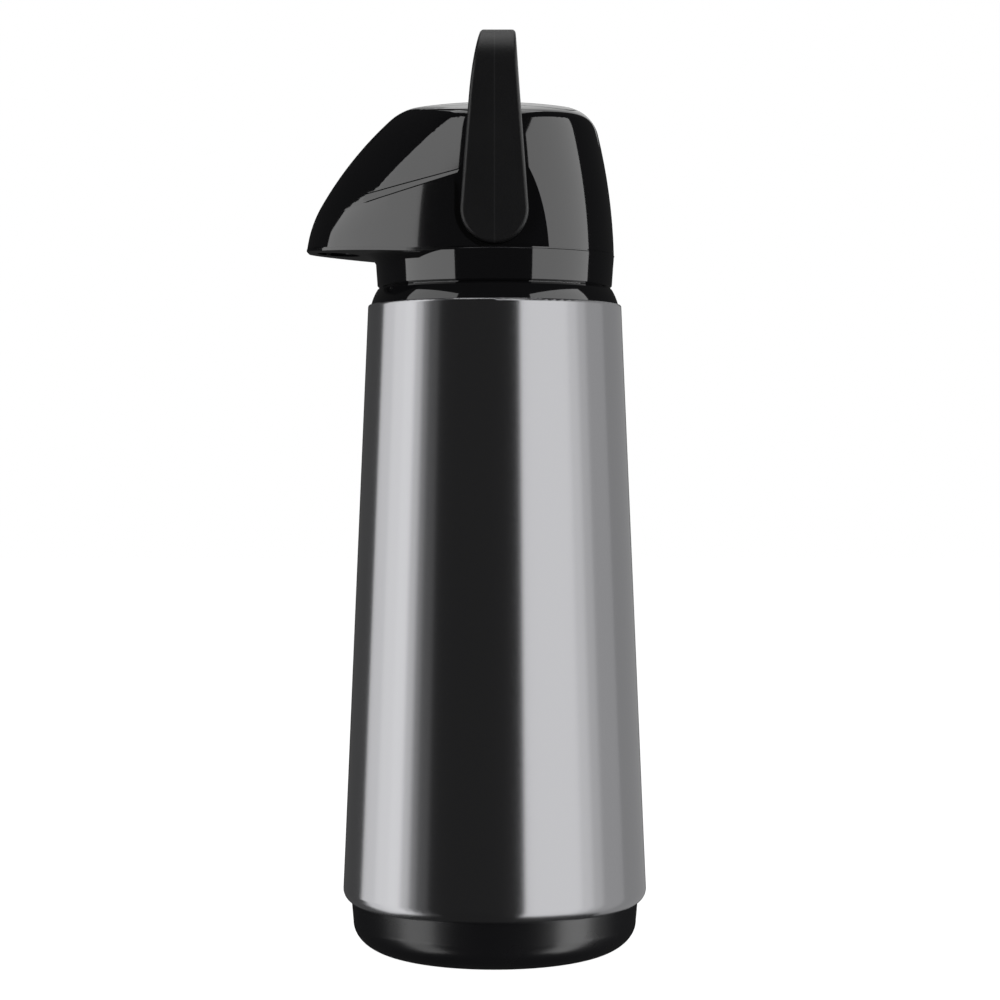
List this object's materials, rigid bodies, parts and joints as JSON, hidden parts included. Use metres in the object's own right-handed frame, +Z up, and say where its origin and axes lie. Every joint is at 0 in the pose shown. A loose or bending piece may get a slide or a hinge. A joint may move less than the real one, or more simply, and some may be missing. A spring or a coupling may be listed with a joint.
{
  "type": "pump flask",
  "caption": "Tall tapered steel vacuum flask with a hooded pump spout head, a press lid in its crown and a swinging strap handle.",
  "frame": {"origin": "centre of the foot's resting plane, on the axis of the steel sleeve", "axes": "+Z up the flask's axis, -X towards the spout, Y across, along the handle's pivots"},
  "size_m": [0.1342, 0.12, 0.3601],
  "materials": {
    "brushed_steel": "fine vertical-taper brushed stainless steel",
    "gloss_black": "high-gloss black moulding",
    "satin_black": "satin black moulding with a soft handling sheen",
    "inner_plastic": "natural white polypropylene",
    "rubber_grey": "grey silicone rubber",
    "liner_glass": "silvered glass",
    "steel_bright": "plain bright steel"
  },
  "bodies": {
    "bottle": {"steel_sleeve": "brushed_steel", "base_cup": "gloss_black", "base_plug": "satin_black", "liner_cushion": "rubber_grey", "flask_outer": "liner_glass", "flask_inner": "liner_glass", "lip_gasket": "rubber_grey", "collar": "gloss_black"},
    "tube_unit": {"flange_seal": "rubber_grey", "tube_flange": "inner_plastic", "dip_tube": "inner_plastic"},
    "head": {"head_base": "gloss_black", "head_cover": "gloss_black", "head_screws": "steel_bright", "pump_seal": "rubber_grey", "pump_chamber": "inner_plastic", "outlet_pipe": "inner_plastic", "spout_nozzle": "satin_black", "bellows": "rubber_grey", "return_spring": "steel_bright", "lid_pin": "steel_bright", "handle_bushes": "inner_plastic"},
    "lid": {"press_lid": "gloss_black", "bellows_cap": "inner_plastic", "intake_flap": "rubber_grey"},
    "handle": {"handle": "satin_black"}
  },
  "joints": [
    {"name": "head_lift", "type": "slide", "parent": "bottle", "child": "tube_unit", "axis": [0, 0, 1], "range_m": [0, 0.25]},
    {"name": "head_turn", "type": "hinge", "parent": "tube_unit", "child": "head", "pos_m": [0, 0, 0.27], "axis": [0, 0, 1], "range_deg": [0, 120]},
    {"name": "press_lid_hinge", "type": "hinge", "parent": "head", "child": "lid", "pos_m": [-0.0466, 0, 0.3126], "axis": [0, 1, 0], "range_deg": [0, 14], "stiffness_Nm_per_rad": 4, "springref_deg": -5.73, "deforming": ["bellows", "return_spring"]},
    {"name": "handle_swing", "type": "hinge", "parent": "head", "child": "handle", "pos_m": [0, 0, 0.2896], "axis": [0, 1, 0], "range_deg": [-5, 90]}
  ]
}
